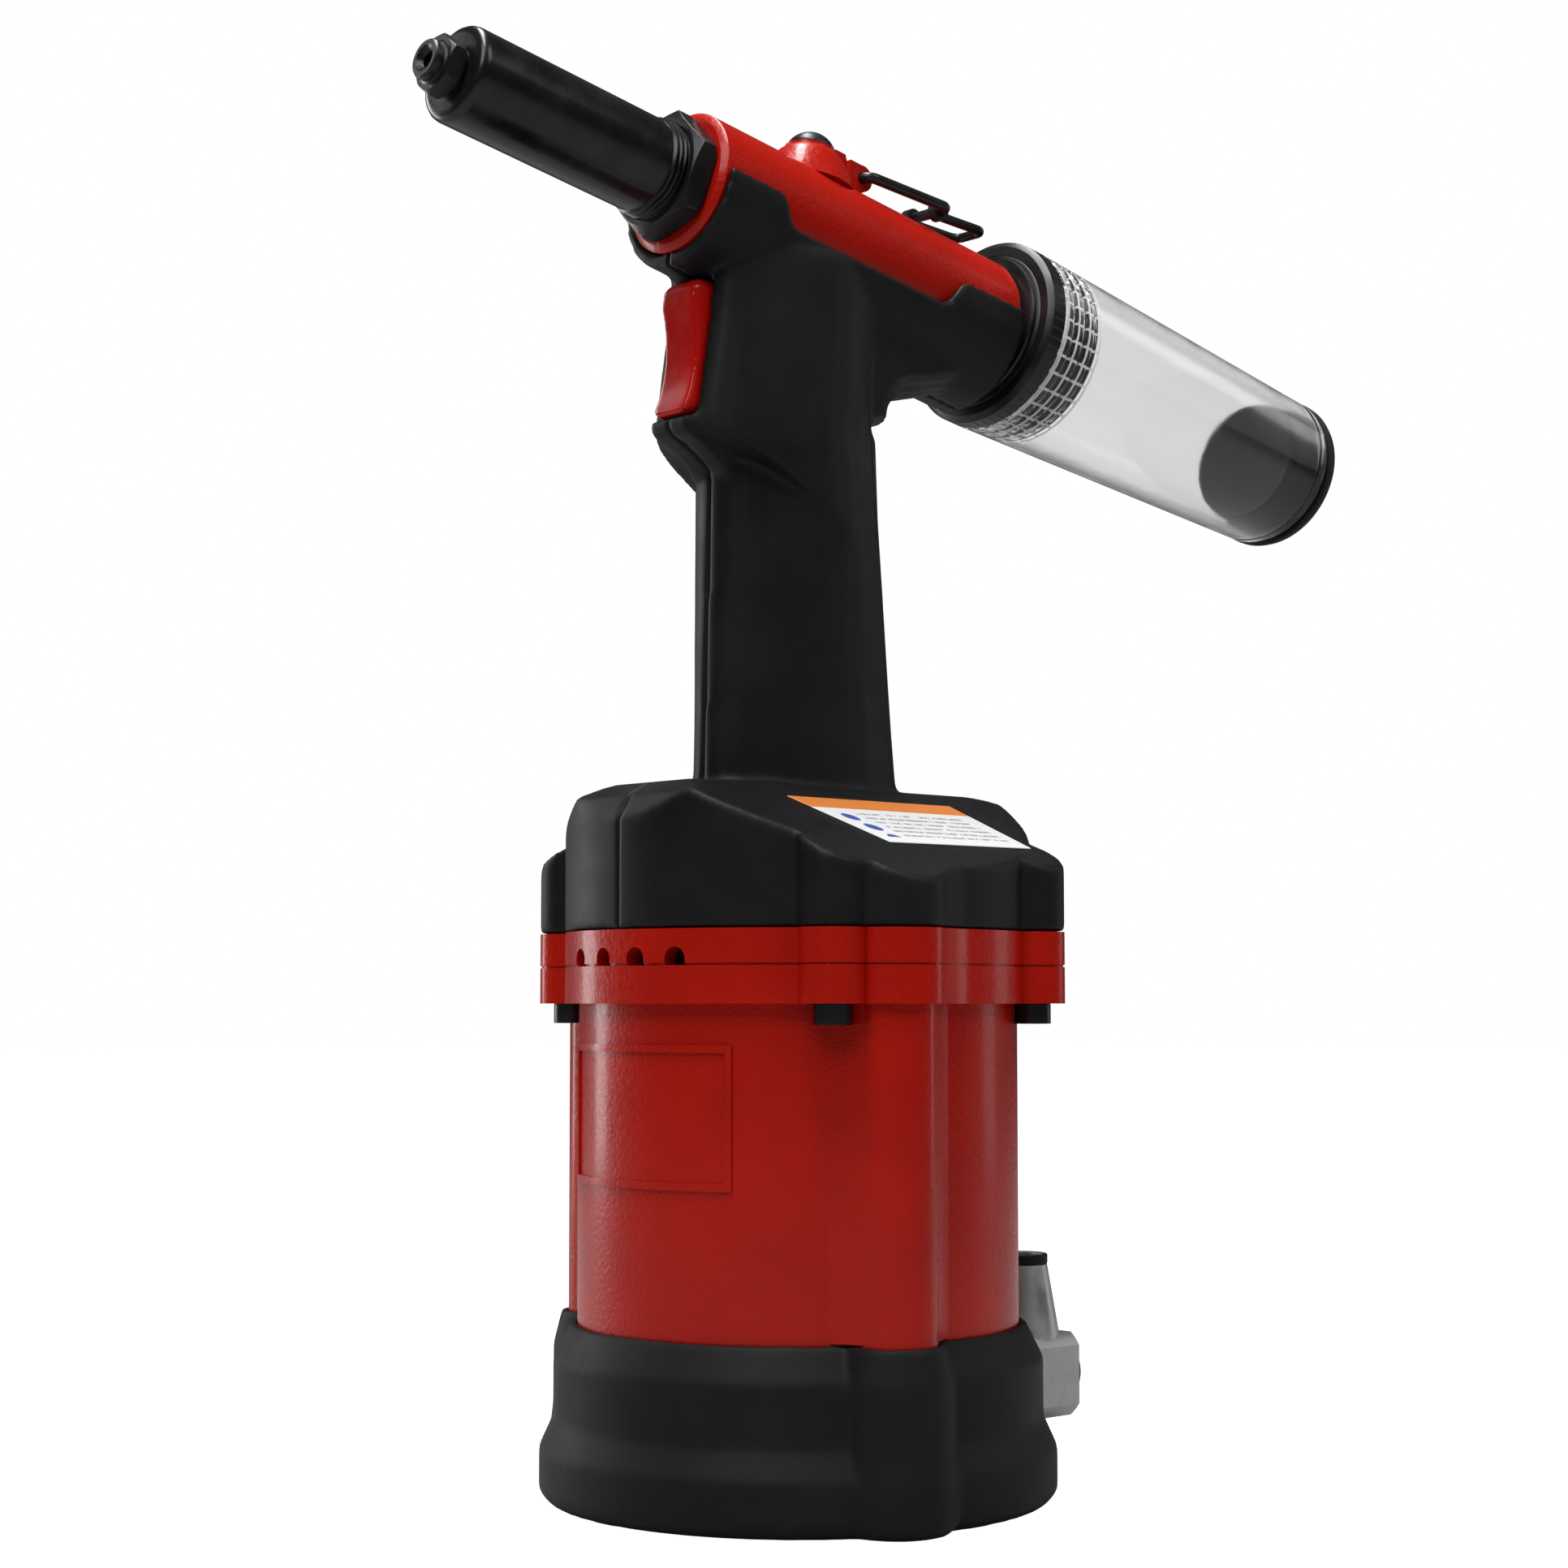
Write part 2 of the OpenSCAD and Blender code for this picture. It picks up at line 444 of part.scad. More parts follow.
module cover_shell() difference() {
  union() {
    grip_body(0);
    wrap_body(0);
    dome_body(0);
    // nose under the trigger
    rotate([90, 0, 0]) linear_extrude(13.6, center = true) polygon([[-41.2, 248.8],
      [-41.3, 250], [-40.6, 250.7], [-34, 252], [-22, 252], [-22, 234], [-28.3, 238.2],
      [-29.2, 240.4], [-33, 243.1], [-36.5, 245.1], [-40.4, 246.8]]);
    // fillet behind the grip, under the barrel: slices of width, set-back and lift
    for (s = [[8, 0.4, 0.4], [14, 1.7, 1.3], [20, 4.2, 2.8], [24, 6.8, 4.2]])
      let (x = 33.2 - s[1] + s[2])
      rotate([90, 0, 0]) linear_extrude(s[0], center = true) difference() {
        polygon([[12, 282], [12, 257], [x, 257], [x, 265 + s[2]], [56, 270.6 + s[2]],
          [56, 278]]);
        translate([x, 257]) circle(r = 8 + s[2]);
      }
  }
  grip_body(wall);
  dome_body(wall);
  translate([0, 0, 120]) cylinder(h = 12.8, r = 52.6);
  along(-45, 120, barrel_r + 0.1);
  // above the cover's top edge, which steps down beside the fill screw
  barrel() rotate([90, 0, 0]) linear_extrude(60, center = true) polygon([[0, -60], [0, -22],
    [2.2, -19.8], [6.6, -17], [6.9, -15], [6.9, 33], [6.2, 35.6], [3, 37.4], [0.4, 38.8],
    [-0.6, 41], [-1.2, 80], [-60, 80], [-60, -60]]);
  // window of the trigger, and room for the screws' ends
  translate([-60, -trig_w / 2 - 0.3, 250.7]) cube([31, trig_w + 0.6, 34]);
  along(62, 20, 30);
  along(-60, 21.7, 30);
}
module left_cover() color(black) intersection() {
  cover_shell();
  translate([-80, -80.02, 100]) cube([160, 80, 240]);
}
module right_cover() color(black) intersection() {
  cover_shell();
  translate([-80, 0.02, 100]) cube([160, 80, 240]);
}
module label_plate() color([0.95, 0.95, 0.95]) translate([2, -32, 157.25])
  rotate([25.84, 0, 0]) translate([0, 0, 0.05]) linear_extrude(0.3)
    polygon([[-26, 11], [-15.5, -14.5], [31.5, -14], [27, 11]]);

// ---------- trigger and pilot valve ----------
module trigger() color(red) difference() {
  trigger_body();
  translate([-33.4, 0, 267]) rotate([0, 90, 0]) cylinder(h = 5, r = 1.62);
}
module trigger_body() intersection() {
  rotate([90, 0, 0]) linear_extrude(trig_w, center = true) difference() {
    polygon([[-41.4, 252.4], [-40.6, 251.1], [-31, 251.1], [-31, 284], [-34.6, 284],
      [-36.6, 283.2], [-37.8, 281.6], [-38.1, 280]]);
    translate([-73.2, 268.4]) circle(r = 36, $fn = 160);
  }
  translate([-50, 0, 267.5]) rotate([90, 0, 90]) linear_extrude(20) union() {
    square([trig_w - 6, 33], center = true);
    square([trig_w, 27], center = true);
    for (y = [-1, 1]) for (z = [-1, 1]) translate([y * (trig_w / 2 - 3), z * 13.5])
      circle(r = 3);
  }
}
module trigger_stem() color(steel) translate([-33.3, 0, 267]) rotate([0, 90, 0])
  cylinder(h = 16.3, r = 1.6);
module trigger_bush() color(brass) translate([-23, 0, 267]) rotate([0, 90, 0]) difference() {
  cylinder(h = 7.5, r = 4.47);
  translate([0, 0, -1]) cylinder(h = 20, r = 1.65);
}
module trigger_spring() color(steel) translate([-30.9, 0, 267]) rotate([0, 90, 0])
  coil(2.8, 0.35, 7.8, 5);
module pilot_tube() color(brass) translate([-20, 0, 125.5]) difference() {
  cylinder(h = 131.5, r = 2);
  translate([0, 0, -1]) cylinder(h = 140, r = 1.2);
}

// ---------- air inlet ----------
module inlet_bush() color(steel) translate([rear_x - 14, 0, in_z]) rotate([0, 90, 0])
  difference() {
    union() {
      cylinder(h = 14, r = 6.45);
      translate([0, 0, 14]) cylinder(h = 5, r = 8);
    }
    translate([0, 0, -1]) cylinder(h = 30, r = 4.5);
  }
module inlet_swivel() color([0.72, 0.72, 0.73]) difference() {
  union() {
    intersection() {
      translate([66.3, -11, in_z - 10.6]) cube([20.7, 22, 21]);
      translate([60, 0, in_z]) rotate([0, 90, 0]) cylinder(h = 30, r = 13.2, $fn = 128);
    }
    translate([77, 0, in_z + 9]) cylinder(h = 1.5, r = 9.8);
    translate([77, 0, in_z + 10.5]) cylinder(h = 17, r1 = 9.8, r2 = 6.9);
    translate([77, 0, in_z + 27.5]) cylinder(h = 2.5, r = 5.9);
  }
  translate([60, 0, in_z]) rotate([0, 90, 0]) cylinder(h = 40, r = 5.05);
  translate([77, 0, in_z + 2]) cylinder(h = 20, r = 2.8);
  translate([77, 0, in_z + 11.5]) cylinder(h = 30, r = 4.4);
}
module banjo_bolt() color(oxide) translate([0, 0, in_z]) rotate([0, 90, 0]) difference() {
  union() {
    translate([0, 0, 52]) cylinder(h = 14.2, r = 4.47);
    translate([0, 0, 66]) cylinder(h = 21.5, r = 5);
    translate([0, 0, 87.3]) cylinder(h = 3.6, r = 8);
    translate([0, 0, 90.9]) intersection() {
      cylinder(h = 5, r = 8);
      translate([0, 0, -6.4]) sphere(r = 10.2);
    }
  }
  translate([0, 0, 50]) cylinder(h = 30, r = 2.4);
  translate([0, 0, 77]) rotate([0, 90, 0]) cylinder(h = 20, r = 2, center = true);
}
module inlet_ring() color(black) translate([77, 0, in_z + 27.6]) difference() {
  cylinder(h = 2.6, r = 7);
  translate([0, 0, -1]) cylinder(h = 5, r = 5.9);
}

base_boot();
air_cylinder();
air_piston();
air_piston_seal();
ram_rod();
ram_nut();
ram_gland();
cylinder_seal();
silencer_pad();
flange_screws();
valve_sleeve();
valve_spool();
valve_spring();
frame_casting();
fill_screw();
hanger_bail();
hanger_link();
front_gland();
pull_piston();
pull_piston_seal();
return_spring();
rear_end_cap();
jaw_case();
jaw_1();
jaw_2();
jaw_3();
jaw_pusher();
jaw_spring();
nose_sleeve();
sleeve_lock_nut();
nosepiece();
collector_adapter();
knurled_ring();
collector_bottle();
bottle_end_cap();
left_cover();
right_cover();
label_plate();
trigger();
trigger_stem();
trigger_bush();
trigger_spring();
pilot_tube();
inlet_bush();
inlet_swivel();
banjo_bolt();
inlet_ring();
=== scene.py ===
"""Air-hydraulic blind rivet puller: looks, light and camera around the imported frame. Metres."""

import json
import logging
import math
from dataclasses import dataclass, field
from enum import Enum

import bpy
from mathutils import Matrix, Vector


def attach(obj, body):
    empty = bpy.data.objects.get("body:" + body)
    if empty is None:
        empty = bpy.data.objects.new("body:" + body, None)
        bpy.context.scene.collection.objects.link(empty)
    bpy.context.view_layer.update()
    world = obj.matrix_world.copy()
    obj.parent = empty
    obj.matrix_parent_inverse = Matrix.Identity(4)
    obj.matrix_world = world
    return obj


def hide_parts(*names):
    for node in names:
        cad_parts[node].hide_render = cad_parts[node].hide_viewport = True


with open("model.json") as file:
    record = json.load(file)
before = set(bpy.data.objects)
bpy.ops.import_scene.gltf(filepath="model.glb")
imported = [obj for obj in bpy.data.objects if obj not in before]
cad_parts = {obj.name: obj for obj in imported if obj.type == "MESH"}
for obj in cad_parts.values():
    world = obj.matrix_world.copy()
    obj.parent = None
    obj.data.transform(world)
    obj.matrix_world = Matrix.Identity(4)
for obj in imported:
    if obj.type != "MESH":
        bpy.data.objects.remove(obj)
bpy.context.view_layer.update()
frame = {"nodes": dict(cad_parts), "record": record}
MM = 0.001
LOG = logging.getLogger("rivet_puller")
Node = bpy.types.ShaderNode
Tree = bpy.types.NodeTree
Obj = bpy.types.Object
Profile = list[tuple[float, float]]


class Body(Enum):
    """The moving bodies that the new pieces ride on."""

    FRAME = "frame"
    TRIGGER = "trigger"
    BAIL = "hanger_bail"
    LINK = "hanger_link"
    RING = "knurled_ring"
    BOTTLE = "collector_bottle"
    END_CAP = "bottle_end_cap"
    SWIVEL = "inlet_swivel"


# ---------------------------------------------------------------- barrel frame
@dataclass(frozen=True)
class BarrelLine:
    """The barrel's axis, tilted nose up in the plane Y = 0."""

    height: float = 0.29986
    tilt_deg: float = 10.42

    def matrix(self) -> Matrix:
        """Returns: the matrix whose local +Z runs rearward along the barrel and -X points up."""
        turn = Matrix.Rotation(math.radians(90 + self.tilt_deg), 4, "Y")
        return Matrix.Translation(self.origin()) @ turn

    def turn(self) -> tuple[float, float, float]:
        """Returns: the same rotation for a pattern's coordinates."""
        return 0, math.radians(90 + self.tilt_deg), 0

    def origin(self) -> tuple[float, float, float]:
        """Returns: the point of the axis above the tool's origin."""
        return 0, 0, self.height


BARREL = BarrelLine()


# ---------------------------------------------------------------- modelling helpers
def only(obj: Obj) -> None:
    """Selects obj alone and makes it active."""
    bpy.ops.object.select_all(action="DESELECT")
    obj.select_set(True)
    bpy.context.view_layer.objects.active = obj


def edit(obj: Obj, select: bool = True) -> None:
    """Opens edit mode on obj, with everything or nothing selected."""
    only(obj)
    bpy.ops.object.mode_set(mode="EDIT")
    bpy.ops.mesh.select_all(action="SELECT" if select else "DESELECT")


def leave() -> None:
    """Goes back to object mode."""
    bpy.ops.object.mode_set(mode="OBJECT")


def settle(obj: Obj) -> None:
    """Applies the object's place to its mesh."""
    only(obj)
    bpy.ops.object.transform_apply(location=True, rotation=True, scale=True)


def modifier(obj: Obj, kind: str, **values: object) -> None:
    """Adds a modifier and applies it.

    Args:
        obj: the piece.
        kind: Blender's name of the modifier type.
        values: the modifier's settings.
    """
    only(obj)
    mod = obj.modifiers.new(kind.lower(), kind)
    for key, value in values.items():
        setattr(mod, key, value)
    bpy.ops.object.modifier_apply(modifier=mod.name)


def round_edges(obj: Obj, width: float, segments: int = 2, angle: float = 28) -> None:
    """Rounds the sharp edges of a piece.

    Args:
        obj: the piece.
        width: width of the rounding in metres.
        segments: faces across the rounding.
        angle: edges sharper than this many degrees are rounded.
    """
    modifier(obj, "BEVEL", width=width, segments=segments, limit_method="ANGLE",
             angle_limit=math.radians(angle), use_clamp_overlap=True)


def shade(obj: Obj, angle: float = 35) -> None:
    """Smooths the shading across edges flatter than angle degrees, led by the broad faces."""
    only(obj)
    bpy.ops.object.shade_smooth_by_angle(angle=math.radians(angle))
    modifier(obj, "WEIGHTED_NORMAL", mode="FACE_AREA", weight=70, keep_sharp=True)


def outward(obj: Obj) -> None:
    """Merges doubled points and turns every face outward."""
    edit(obj)
    bpy.ops.mesh.remove_doubles(threshold=1e-6)
    bpy.ops.mesh.normals_make_consistent(inside=False)
    leave()


def from_node(node: str, name: str, dissolve: bool = True) -> Obj:
    """Copies a CAD node into a new welded piece.

    Args:
        node: the CAD node's name.
        name: the new piece's name.
        dissolve: whether flat groups of triangles are joined into one face.

    Returns:
        The new piece, riding on nothing yet.
    """
    source = frame["nodes"][node]
    obj = source.copy()
    obj.data = source.data.copy()
    obj.name = name
    obj.parent = None
    for key in list(obj.keys()):
        del obj[key]
    obj.data.materials.clear()
    bpy.context.scene.collection.objects.link(obj)
    edit(obj)
    bpy.ops.mesh.remove_doubles(threshold=2e-6)
    if dissolve:
        bpy.ops.mesh.dissolve_limited(angle_limit=math.radians(0.4))
    leave()
    return obj


def lathe(name: str, profile: Profile, segments: int = 128, closed: bool = True) -> Obj:
    """Turns a profile round local Z by extruding and resizing a ring.

    Args:
        name: the piece's name.
        profile: points (radius, place) in millimetres, in order round the section.
        segments: sides of the ring.
        closed: whether the last point joins the first, which leaves a bore.

    Returns:
        The turned piece, its axis on world Z.
    """
    bpy.ops.object.select_all(action="DESELECT")
    first = profile[0]
    bpy.ops.mesh.primitive_circle_add(vertices=segments, radius=first[0] * MM,
                                      location=(0, 0, first[1] * MM))
    obj = bpy.context.object
    obj.name = name
    settle(obj)
    edit(obj)
    for (r0, z0), (r1, z1) in zip(profile, profile[1:]):
        bpy.ops.mesh.extrude_region_move(
            TRANSFORM_OT_translate={"value": (0, 0, (z1 - z0) * MM)})
        ratio = r1 / r0
        bpy.ops.transform.resize(value=(ratio, ratio, 1), center_override=(0, 0, 0))
    if closed:
        bpy.ops.mesh.select_all(action="DESELECT")
        bpy.ops.mesh.select_non_manifold(extend=False)
        bpy.ops.mesh.bridge_edge_loops()
    else:
        bpy.ops.mesh.select_non_manifold(extend=False)
        bpy.ops.mesh.edge_face_add()
    leave()
    outward(obj)
    return obj


def onto_barrel(obj: Obj) -> Obj:
    """Puts a piece built on world Z onto the barrel's axis."""
    obj.data.transform(BARREL.matrix())
    return obj


def soften(obj: Obj, voxel: float, rounds: int, keep_seam: float = 0.0) -> None:
    """Rebuilds a piece from voxels and relaxes it, so that its joins blend as in a mould.

    Args:
        obj: the closed piece.
        voxel: edge of a voxel in metres.
        rounds: how many times the surface is relaxed.
        keep_seam: within this distance of the plane Y = 0 the surface keeps its shape.
    """
    modifier(obj, "REMESH", mode="VOXEL", voxel_size=voxel, use_smooth_shade=True)
    group = obj.vertex_groups.new(name="relax")
    for v in obj.data.vertices:
        away = abs(v.co.y) - keep_seam
        weight = 1.0 if keep_seam == 0 else min(1.0, max(0.0, away / (2 * voxel)))
        group.add([v.index], weight, "REPLACE")
    modifier(obj, "SMOOTH", factor=0.5, iterations=rounds, vertex_group="relax")
    obj.vertex_groups.clear()


def place(obj: Obj, body: Body, finish: "Finish", slot: str, *nodes: str) -> Obj:
    """Dresses a finished piece and hangs it on its body.

    Args:
        obj: the finished piece.
        body: the body that it rides on.
        finish: its material.
        slot: the record's material slot; not used.
        nodes: the CAD nodes that it stands for.

    Returns:
        The same piece.
    """
    obj.data.materials.clear()
    obj.data.materials.append(finish.material())
    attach(obj, body.value)
    if nodes:
        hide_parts(*nodes)
    LOG.info("%s: %d faces", obj.name, len(obj.data.polygons))
    return obj


# ---------------------------------------------------------------- finishes
class Finish:
    """A surface finish that makes its node material once and keeps it."""

    made: dict[str, bpy.types.Material] = {}
    name: str = "finish"

    def material(self) -> bpy.types.Material:
        """Returns: the material, made at the first call."""
        if self.name not in Finish.made:
            mat = bpy.data.materials.new(self.name)
            mat.use_nodes = True
            self.build(mat.node_tree, mat.node_tree.nodes["Principled BSDF"])
            Finish.made[self.name] = mat
        return Finish.made[self.name]

    def build(self, tree: Tree, shader: Node) -> None:
        """Fills the tree; each finish has its own."""
        raise NotImplementedError


def coords(tree: Tree, scale: tuple[float, float, float] = (1, 1, 1),
           turn: tuple[float, float, float] = (0, 0, 0),
           origin: tuple[float, float, float] = (0, 0, 0)) -> bpy.types.NodeSocket:
    """Object coordinates, moved so that origin is zero, then turned and scaled.

    Args:
        tree: the node tree.
        scale: stretch along each turned axis.
        turn: rotation in radians.
        origin: the place that becomes zero, in metres.

    Returns:
        The vector socket.
    """
    tex = tree.nodes.new("ShaderNodeTexCoord")
    mapping = tree.nodes.new("ShaderNodeMapping")
    mapping.vector_type = "TEXTURE"
    mapping.inputs["Location"].default_value = origin
    mapping.inputs["Rotation"].default_value = turn
    mapping.inputs["Scale"].default_value = [1 / s for s in scale]
    tree.links.new(tex.outputs["Object"], mapping.inputs["Vector"])
    return mapping.outputs["Vector"]


def noise(tree: Tree, vector: bpy.types.NodeSocket, scale: float, detail: float = 3,
          rough: float = 0.5) -> bpy.types.NodeSocket:
    """A noise pattern.

    Args:
        tree: the node tree.
        vector: the coordinates.
        scale: cells per metre.
        detail: octaves.
        rough: weight of the finer octaves.

    Returns:
        The pattern's factor.
    """
    tex = tree.nodes.new("ShaderNodeTexNoise")
    tex.inputs["Scale"].default_value = scale
    tex.inputs["Detail"].default_value = detail
    tex.inputs["Roughness"].default_value = rough
    tree.links.new(vector, tex.inputs["Vector"])
    return tex.outputs["Fac"]


def spread(tree: Tree, value: bpy.types.NodeSocket, low: float, high: float,
           start: float = 0.3, end: float = 0.7) -> bpy.types.NodeSocket:
    """Maps a pattern to a new range.

    Args:
        tree: the node tree.
        value: the pattern.
        low: result at start.
        high: result at end.
        start: where the pattern begins to count.
        end: where it stops.

    Returns:
        The new value.
    """
    node = tree.nodes.new("ShaderNodeMapRange")
    for key, number in (("From Min", start), ("From Max", end), ("To Min", low), ("To Max", high)):
        node.inputs[key].default_value = number
    tree.links.new(value, node.inputs["Value"])
    return node.outputs["Result"]


def bump(tree: Tree, shader: Node, *layers: tuple[bpy.types.NodeSocket, float]) -> None:
    """Chains bump layers of (height pattern, depth in metres) into the shader's normal."""
    last = None
    for height, depth in layers:
        node = tree.nodes.new("ShaderNodeBump")
        node.inputs["Strength"].default_value = 1.0
        node.inputs["Distance"].default_value = depth
        tree.links.new(height, node.inputs["Height"])
        if last:
            tree.links.new(last, node.inputs["Normal"])
        last = node.outputs["Normal"]
    tree.links.new(last, shader.inputs["Normal"])


def calc(tree: Tree, kind: str, *terms: object) -> bpy.types.NodeSocket:
    """One arithmetic node.

    Args:
        tree: the node tree.
        kind: Blender's name of the operation.
        terms: sockets or numbers, in the order of the inputs.

    Returns:
        The node's value.
    """
    node = tree.nodes.new("ShaderNodeMath")
    node.operation = kind
    for i, term in enumerate(terms):
        if isinstance(term, (int, float)):
            node.inputs[i].default_value = term
        else:
            tree.links.new(term, node.inputs[i])
    return node.outputs[0]


def blend(tree: Tree, factor: bpy.types.NodeSocket, *colours: object) -> bpy.types.NodeSocket:
    """Mixes two colours by a pattern.

    Args:
        tree: the node tree.
        factor: the pattern, 0 for the first colour and 1 for the second.
        colours: two colours, each a socket or red, green and blue.

    Returns:
        The mixed colour.
    """
    mix = tree.nodes.new("ShaderNodeMix")
    mix.data_type = "RGBA"
    for key, colour in zip("AB", colours):
        if isinstance(colour, tuple):
            mix.inputs[key].default_value = (*colour, 1)
        else:
            tree.links.new(colour, mix.inputs[key])
    tree.links.new(factor, mix.inputs["Factor"])
    return mix.outputs["Result"]


def product(tree: Tree, *terms: object) -> bpy.types.NodeSocket:
    """Multiplies sockets or numbers together. Returns: the product."""
    result = terms[0]
    for term in terms[1:]:
        result = calc(tree, "MULTIPLY", result, term)
    return result


def between(tree: Tree, value: bpy.types.NodeSocket, low: float, high: float
            ) -> bpy.types.NodeSocket:
    """Returns: 1 where value lies between low and high, else 0."""
    return product(tree, calc(tree, "GREATER_THAN", value, low),
                   calc(tree, "LESS_THAN", value, high))


def split(tree: Tree, vector: bpy.types.NodeSocket) -> tuple[bpy.types.NodeSocket, ...]:
    """Returns: the three parts of a vector."""
    node = tree.nodes.new("ShaderNodeSeparateXYZ")
    tree.links.new(vector, node.inputs[0])
    return tuple(node.outputs)


@dataclass(frozen=True)
class TexturedPaint(Finish):
    """Stoved paint with a pebbled skin."""

    name: str = "red_textured_paint"
    dark: tuple = (0.37, 0.0055, 0.0008)
    light: tuple = (0.45, 0.0080, 0.0012)
    pebble: float = 950
    depth: float = 0.00013
    rough: float = 0.30

    def build(self, tree: Tree, shader: Node) -> None:
        """Pebbled skin, uneven gloss and a slight shift of colour."""
        at = coords(tree)
        broad = noise(tree, at, 35, 2)
        skin = noise(tree, at, self.pebble, 2, 0.45)
        fine = noise(tree, at, self.pebble * 3.1, 2)
        tree.links.new(blend(tree, spread(tree, broad, 0, 1), self.dark, self.light),
                       shader.inputs["Base Color"])
        tree.links.new(spread(tree, skin, self.rough - 0.05, self.rough + 0.10),
                       shader.inputs["Roughness"])
        shader.inputs["Specular IOR Level"].default_value = 0.12
        shader.inputs["Coat Weight"].default_value = 0.22
        shader.inputs["Coat Roughness"].default_value = 0.14
        bump(tree, shader, (skin, self.depth), (fine, self.depth * 0.25))


@dataclass(frozen=True)
class MouldedPlastic(Finish):
    """Spark-eroded matt plastic."""

    name: str = "black_moulded_plastic"
    dark: tuple = (0.0050, 0.0053, 0.0055)
    light: tuple = (0.0080, 0.0084, 0.0086)
    grain: float = 2600
    depth: float = 0.00003
    rough: float = 0.52

    def build(self, tree: Tree, shader: Node) -> None:
        """Fine grain, faint handling marks."""
        at = coords(tree)
        grain = noise(tree, at, self.grain, 2, 0.6)
        marks = noise(tree, at, 60, 4, 0.6)
        tree.links.new(blend(tree, spread(tree, marks, 0, 1), self.dark, self.light),
                       shader.inputs["Base Color"])
        tree.links.new(spread(tree, marks, self.rough - 0.06, self.rough + 0.08),
                       shader.inputs["Roughness"])
        shader.inputs["Specular IOR Level"].default_value = 0.17
        bump(tree, shader, (grain, self.depth), *self.extra(tree))

    def extra(self, tree: Tree) -> list[tuple[bpy.types.NodeSocket, float]]:
        """Returns: further bump layers; none for the plain plastic."""
        return []


@dataclass(frozen=True)
class GripPlastic(MouldedPlastic):
    """The covers' plastic, with the fine moulded line down the back of the grip."""

    name: str = "black_grip_plastic"
    knee: tuple = (0.0132, 0.236)
    lean_low: float = 0.188
    lean_high: float = 0.126
    span: tuple = (0.168, 0.262)
    half: float = 0.00045
    groove: float = 0.0005

    def extra(self, tree: Tree) -> list[tuple[bpy.types.NodeSocket, float]]:
        """Returns: the groove's bump layer."""
        x, _, z = split(tree, coords(tree))
        below = calc(tree, "MAXIMUM", calc(tree, "SUBTRACT", self.knee[1], z), 0.0)
        above = calc(tree, "MAXIMUM", calc(tree, "SUBTRACT", z, self.knee[1]), 0.0)
        line = calc(tree, "ADD", product(tree, below, self.lean_low), self.knee[0])
        line = calc(tree, "SUBTRACT", line, product(tree, above, self.lean_high))
        away = calc(tree, "ABSOLUTE", calc(tree, "SUBTRACT", x, line))
        wall = calc(tree, "MINIMUM", product(tree, away, 1 / self.half), 1.0)
        dip = product(tree, calc(tree, "SUBTRACT", 1.0, wall), between(tree, z, *self.span))
        return [(calc(tree, "SUBTRACT", 1.0, dip), self.groove)]


@dataclass(frozen=True)
class GlossPlastic(Finish):
    """Polished moulding."""

    name: str = "red_gloss_plastic"
    dark: tuple = (0.42, 0.0035, 0.002)
    light: tuple = (0.50, 0.007, 0.004)
    rough: float = 0.20

    def build(self, tree: Tree, shader: Node) -> None:
        """Near even gloss with a light ripple."""
        at = coords(tree)
        ripple = noise(tree, at, 120, 2)
        tree.links.new(blend(tree, ripple, self.dark, self.light), shader.inputs["Base Color"])
        tree.links.new(spread(tree, ripple, self.rough - 0.04, self.rough + 0.08),
                       shader.inputs["Roughness"])
        shader.inputs["Specular IOR Level"].default_value = 0.35
        bump(tree, shader, (ripple, 0.00004))


@dataclass(frozen=True)
class TurnedMetal(Finish):
    """Metal with fine turning marks round an axis."""

    name: str = "black_oxide_turned"
    dark: tuple = (0.010, 0.010, 0.011)
    light: tuple = (0.022, 0.022, 0.024)
    rough: float = 0.22
    metallic: float = 0.55
    mark: float = 5000
    turn_deg: float = 0.0
    depth: float = 0.000006

    def build(self, tree: Tree, shader: Node) -> None:
        """Rings from noise stretched round the axis, plus broad cloudiness."""
        at = coords(tree, (0.02, 0.02, 1), (0, math.radians(self.turn_deg), 0),
                    (0, 0, BARREL.height if self.turn_deg else 0))
        rings = noise(tree, at, self.mark, 2, 0.7)
        cloud = noise(tree, coords(tree), 90, 4, 0.6)
        tree.links.new(blend(tree, spread(tree, cloud, 0, 1), self.dark, self.light),
                       shader.inputs["Base Color"])
        tree.links.new(spread(tree, cloud, self.rough - 0.05, self.rough + 0.10),
                       shader.inputs["Roughness"])
        shader.inputs["Metallic"].default_value = self.metallic
        bump(tree, shader, (rings, self.depth))


@dataclass(frozen=True)
class CastMetal(Finish):
    """Satin die-cast metal."""

    name: str = "silver_cast"
    dark: tuple = (0.42, 0.42, 0.43)
    light: tuple = (0.56, 0.56, 0.57)
    rough: float = 0.38
    metallic: float = 0.9

    def build(self, tree: Tree, shader: Node) -> None:
        """Cloudy satin with a fine blasted skin."""
        at = coords(tree)
        cloud = noise(tree, at, 150, 4, 0.6)
        skin = noise(tree, at, 2400, 2)
        tree.links.new(blend(tree, spread(tree, cloud, 0, 1), self.dark, self.light),
                       shader.inputs["Base Color"])
        tree.links.new(spread(tree, cloud, self.rough - 0.08, self.rough + 0.1),
                       shader.inputs["Roughness"])
        shader.inputs["Metallic"].default_value = self.metallic
        bump(tree, shader, (skin, 0.00002))


